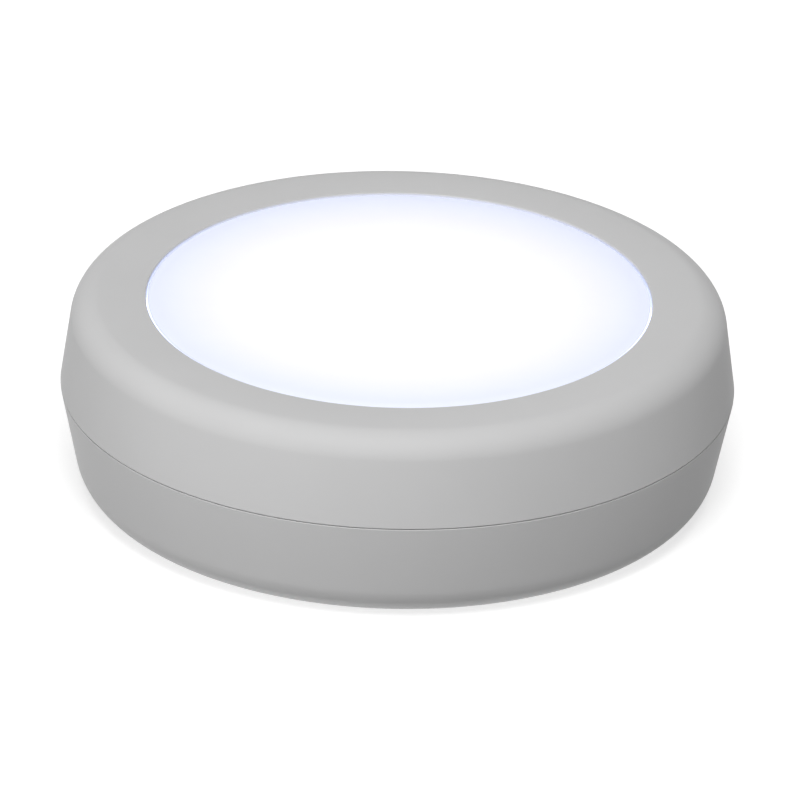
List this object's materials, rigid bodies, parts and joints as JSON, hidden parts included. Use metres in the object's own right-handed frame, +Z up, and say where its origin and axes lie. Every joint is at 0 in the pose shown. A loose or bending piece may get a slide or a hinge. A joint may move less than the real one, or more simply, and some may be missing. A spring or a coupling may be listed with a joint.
{
  "type": "led puck light",
  "caption": "Round battery puck light: shells that twist together, a sprung diffuser pressed to switch it, a lamp board and a cell tray.",
  "frame": {"origin": "centre of the underside, on the surface that the light rests on or is screwed to", "axes": "+Z up along the axis of the case, out of the lens; X through the two screw holes of the underside"},
  "size_m": [0.084, 0.084, 0.0254],
  "materials": {
    "grey_abs": "satin grey moulded plastic",
    "lit_diffuser": "milky diffuser, lit from behind",
    "white_abs": "moulded white plastic",
    "spring_steel": "bright spring wire",
    "screw_steel": "zinc plated",
    "reflector_white": "glossy white",
    "board_white": "white solder mask",
    "led_yellow": "yellow phosphor in a white case",
    "resistor_black": "black glaze",
    "switch_black": "moulded black plastic",
    "plunger_white": "moulded white plastic",
    "cell_sleeve": "printed sleeve on a steel can, bare of print",
    "contact_nickel": "nickel plated strip",
    "wire_red_pvc": "flexible insulation",
    "wire_black_pvc": "flexible insulation"
  },
  "bodies": {
    "base": {"base_shell": "grey_abs"},
    "head": {"bezel_shell": "grey_abs", "lens_spring_1": "spring_steel", "lens_spring_2": "spring_steel", "lens_spring_3": "spring_steel", "battery_tray": "white_abs", "tray_screws": "screw_steel", "reflector": "reflector_white", "led_board": "board_white", "board_screws": "screw_steel", "led_1": "led_yellow", "led_2": "led_yellow", "led_3": "led_yellow", "led_4": "led_yellow", "led_5": "led_yellow", "led_6": "led_yellow", "resistor_1": "resistor_black", "resistor_2": "resistor_black", "resistor_3": "resistor_black", "switch_body": "switch_black", "switch_cover": "screw_steel", "battery_1": "cell_sleeve", "battery_2": "cell_sleeve", "battery_3": "cell_sleeve", "contact_positive": "contact_nickel", "contact_negative": "contact_nickel", "contact_jumper_a": "contact_nickel", "contact_jumper_b": "contact_nickel", "battery_spring_1": "spring_steel", "battery_spring_2": "spring_steel", "battery_spring_3": "spring_steel", "wire_red": "wire_red_pvc", "wire_black": "wire_black_pvc"},
    "lens": {"diffuser_lens": "lit_diffuser"},
    "plunger": {"switch_plunger": "plunger_white"}
  },
  "joints": [
    {"name": "twist_lock", "type": "hinge", "parent": "base", "child": "head", "pos_m": [0, 0, 0], "axis": [0, 0, 1], "range_deg": [0, 25]},
    {"name": "lens_press", "type": "slide", "parent": "head", "child": "lens", "axis": [0, 0, -1], "range_m": [0, 0.0008], "stiffness_N_per_m": 2500, "springref_m": -0.0004, "deforming": ["lens_spring_1", "lens_spring_2", "lens_spring_3"]},
    {"name": "switch_travel", "type": "slide", "parent": "head", "child": "plunger", "axis": [0, 0, -1], "range_m": [0, 0.0008]}
  ],
  "couplings": [
    {"joint": "switch_travel", "follows": "lens_press", "ratio": 1}
  ]
}
